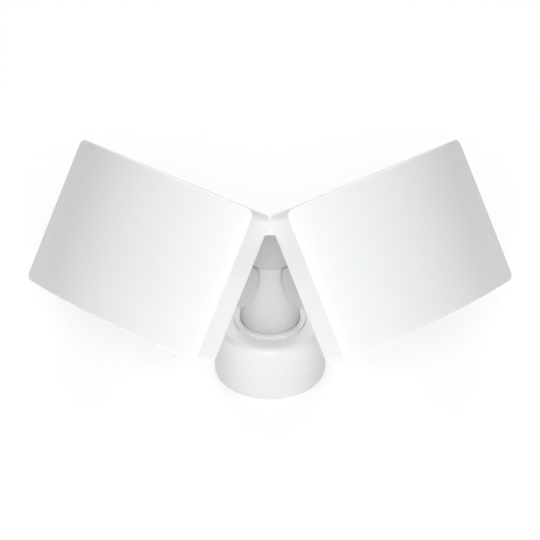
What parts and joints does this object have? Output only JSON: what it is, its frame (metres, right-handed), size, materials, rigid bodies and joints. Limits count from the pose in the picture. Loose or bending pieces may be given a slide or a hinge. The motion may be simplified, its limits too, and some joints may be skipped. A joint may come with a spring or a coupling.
{
  "type": "motion sensor security light",
  "caption": "Outdoor security light: wide curved lamp heads tilt on a swivelling neck with a motion sensor in its end, over a round wall or ceiling canopy.",
  "frame": {"origin": "centre of the base's mounting face, which lies on z = 0, midway between the crossbar's two slots", "axes": "+Z out of the mounting face along the swivel, +X towards the right-hand head as seen from the front, -Y towards the side the heads look to"},
  "size_m": [0.4974, 0.2389, 0.2371],
  "materials": {
    "body_white": "white weatherproof polycarbonate, satin",
    "housing_cast": "die-cast aluminium under a fine-textured white powder coat",
    "nylon_white": "moulded white plastic, satin",
    "opal_cover": "opal diffusing plastic, satin gloss",
    "sensor_window": "milky moulded polyethylene",
    "foam": "closed-cell foam",
    "silicone": "soft silicone",
    "zinc_steel": "zinc-plated pressed steel",
    "screw_steel": "stainless steel, machined",
    "ground_green": "green-dyed earth screw",
    "insert_brass": "turned brass",
    "driver_case": "potted black plastic case",
    "terminal_nylon": "natural nylon",
    "friction_fibre": "fibre friction facing",
    "acetal": "acetal",
    "circuit_board": "green circuit board with solder mask",
    "led_board_white": "white-masked aluminium circuit board",
    "led_phosphor": "yellow phosphor in a white package",
    "reflector_white": "white reflector sheet",
    "spreader_aluminium": "rolled aluminium plate",
    "detector_can": "nickel-plated can",
    "photocell_resin": "cadmium track under clear resin",
    "relay_case": "blue relay case",
    "capacitor_sleeve": "shrink sleeve over aluminium can",
    "trimmer_case": "trimmer case",
    "knob_grey": "moulded grey plastic"
  },
  "bodies": {
    "base": {"base_canopy": "body_white", "base_gasket": "foam", "mounting_bracket": "zinc_steel", "canopy_side_screws": "screw_steel", "ground_screw": "ground_green", "driver_box": "driver_case", "driver_screws": "screw_steel", "terminal_block": "terminal_nylon", "thrust_washer": "acetal"},
    "neck": {"neck_column": "body_white", "retaining_nut": "zinc_steel", "wave_washer": "screw_steel", "sensor_lens": "sensor_window", "sensor_lens_seal": "silicone", "sensor_board": "circuit_board", "infrared_detector": "detector_can", "photocell": "photocell_resin", "relay": "relay_case", "capacitor": "capacitor_sleeve", "potentiometers": "trimmer_case", "pivot_insert_left": "insert_brass", "pivot_insert_right": "insert_brass", "friction_disc_left": "friction_fibre", "friction_disc_right": "friction_fibre", "spring_washer_left": "screw_steel", "spring_washer_right": "screw_steel", "pivot_bolt_left": "screw_steel", "pivot_bolt_right": "screw_steel"},
    "head_left": {"rear_housing_left": "housing_cast", "front_lens_left": "opal_cover", "lens_gasket_left": "silicone", "housing_screws_left": "screw_steel", "heat_spreader_left": "spreader_aluminium", "led_board_left": "led_board_white", "led_chips_left": "led_phosphor", "reflector_tray_left": "reflector_white", "pivot_cap_left": "nylon_white", "vent_plug_left": "knob_grey"},
    "head_right": {"rear_housing_right": "housing_cast", "front_lens_right": "opal_cover", "lens_gasket_right": "silicone", "housing_screws_right": "screw_steel", "heat_spreader_right": "spreader_aluminium", "led_board_right": "led_board_white", "led_chips_right": "led_phosphor", "reflector_tray_right": "reflector_white", "pivot_cap_right": "nylon_white", "vent_plug_right": "knob_grey"},
    "time_dial": {"time_knob": "knob_grey"},
    "range_dial": {"range_knob": "knob_grey"},
    "light_dial": {"light_knob": "knob_grey"}
  },
  "joints": [
    {"name": "base_swivel", "type": "hinge", "parent": "base", "child": "neck", "pos_m": [0, 0, 0.062], "axis": [0, 0, 1], "range_deg": [-160, 160]},
    {"name": "tilt_left", "type": "hinge", "parent": "neck", "child": "head_left", "pos_m": [-0.03135, -0.04131, 0.1325], "axis": [0.7965, -0.6046, 0], "range_deg": [0, 45]},
    {"name": "tilt_right", "type": "hinge", "parent": "neck", "child": "head_right", "pos_m": [0.03135, -0.04131, 0.1325], "axis": [0.7965, 0.6046, 0], "range_deg": [0, 45]},
    {"name": "time_dial_turn", "type": "hinge", "parent": "neck", "child": "time_dial", "pos_m": [-0.01778, 0.02539, 0.1123], "axis": [-0.5736, 0.8192, 0], "range_deg": [-135, 135]},
    {"name": "range_dial_turn", "type": "hinge", "parent": "neck", "child": "range_dial", "pos_m": [0, 0.031, 0.1123], "axis": [0, 1, 0], "range_deg": [-135, 135]},
    {"name": "light_dial_turn", "type": "hinge", "parent": "neck", "child": "light_dial", "pos_m": [0.01778, 0.02539, 0.1123], "axis": [0.5736, 0.8192, 0], "range_deg": [-135, 135]}
  ]
}
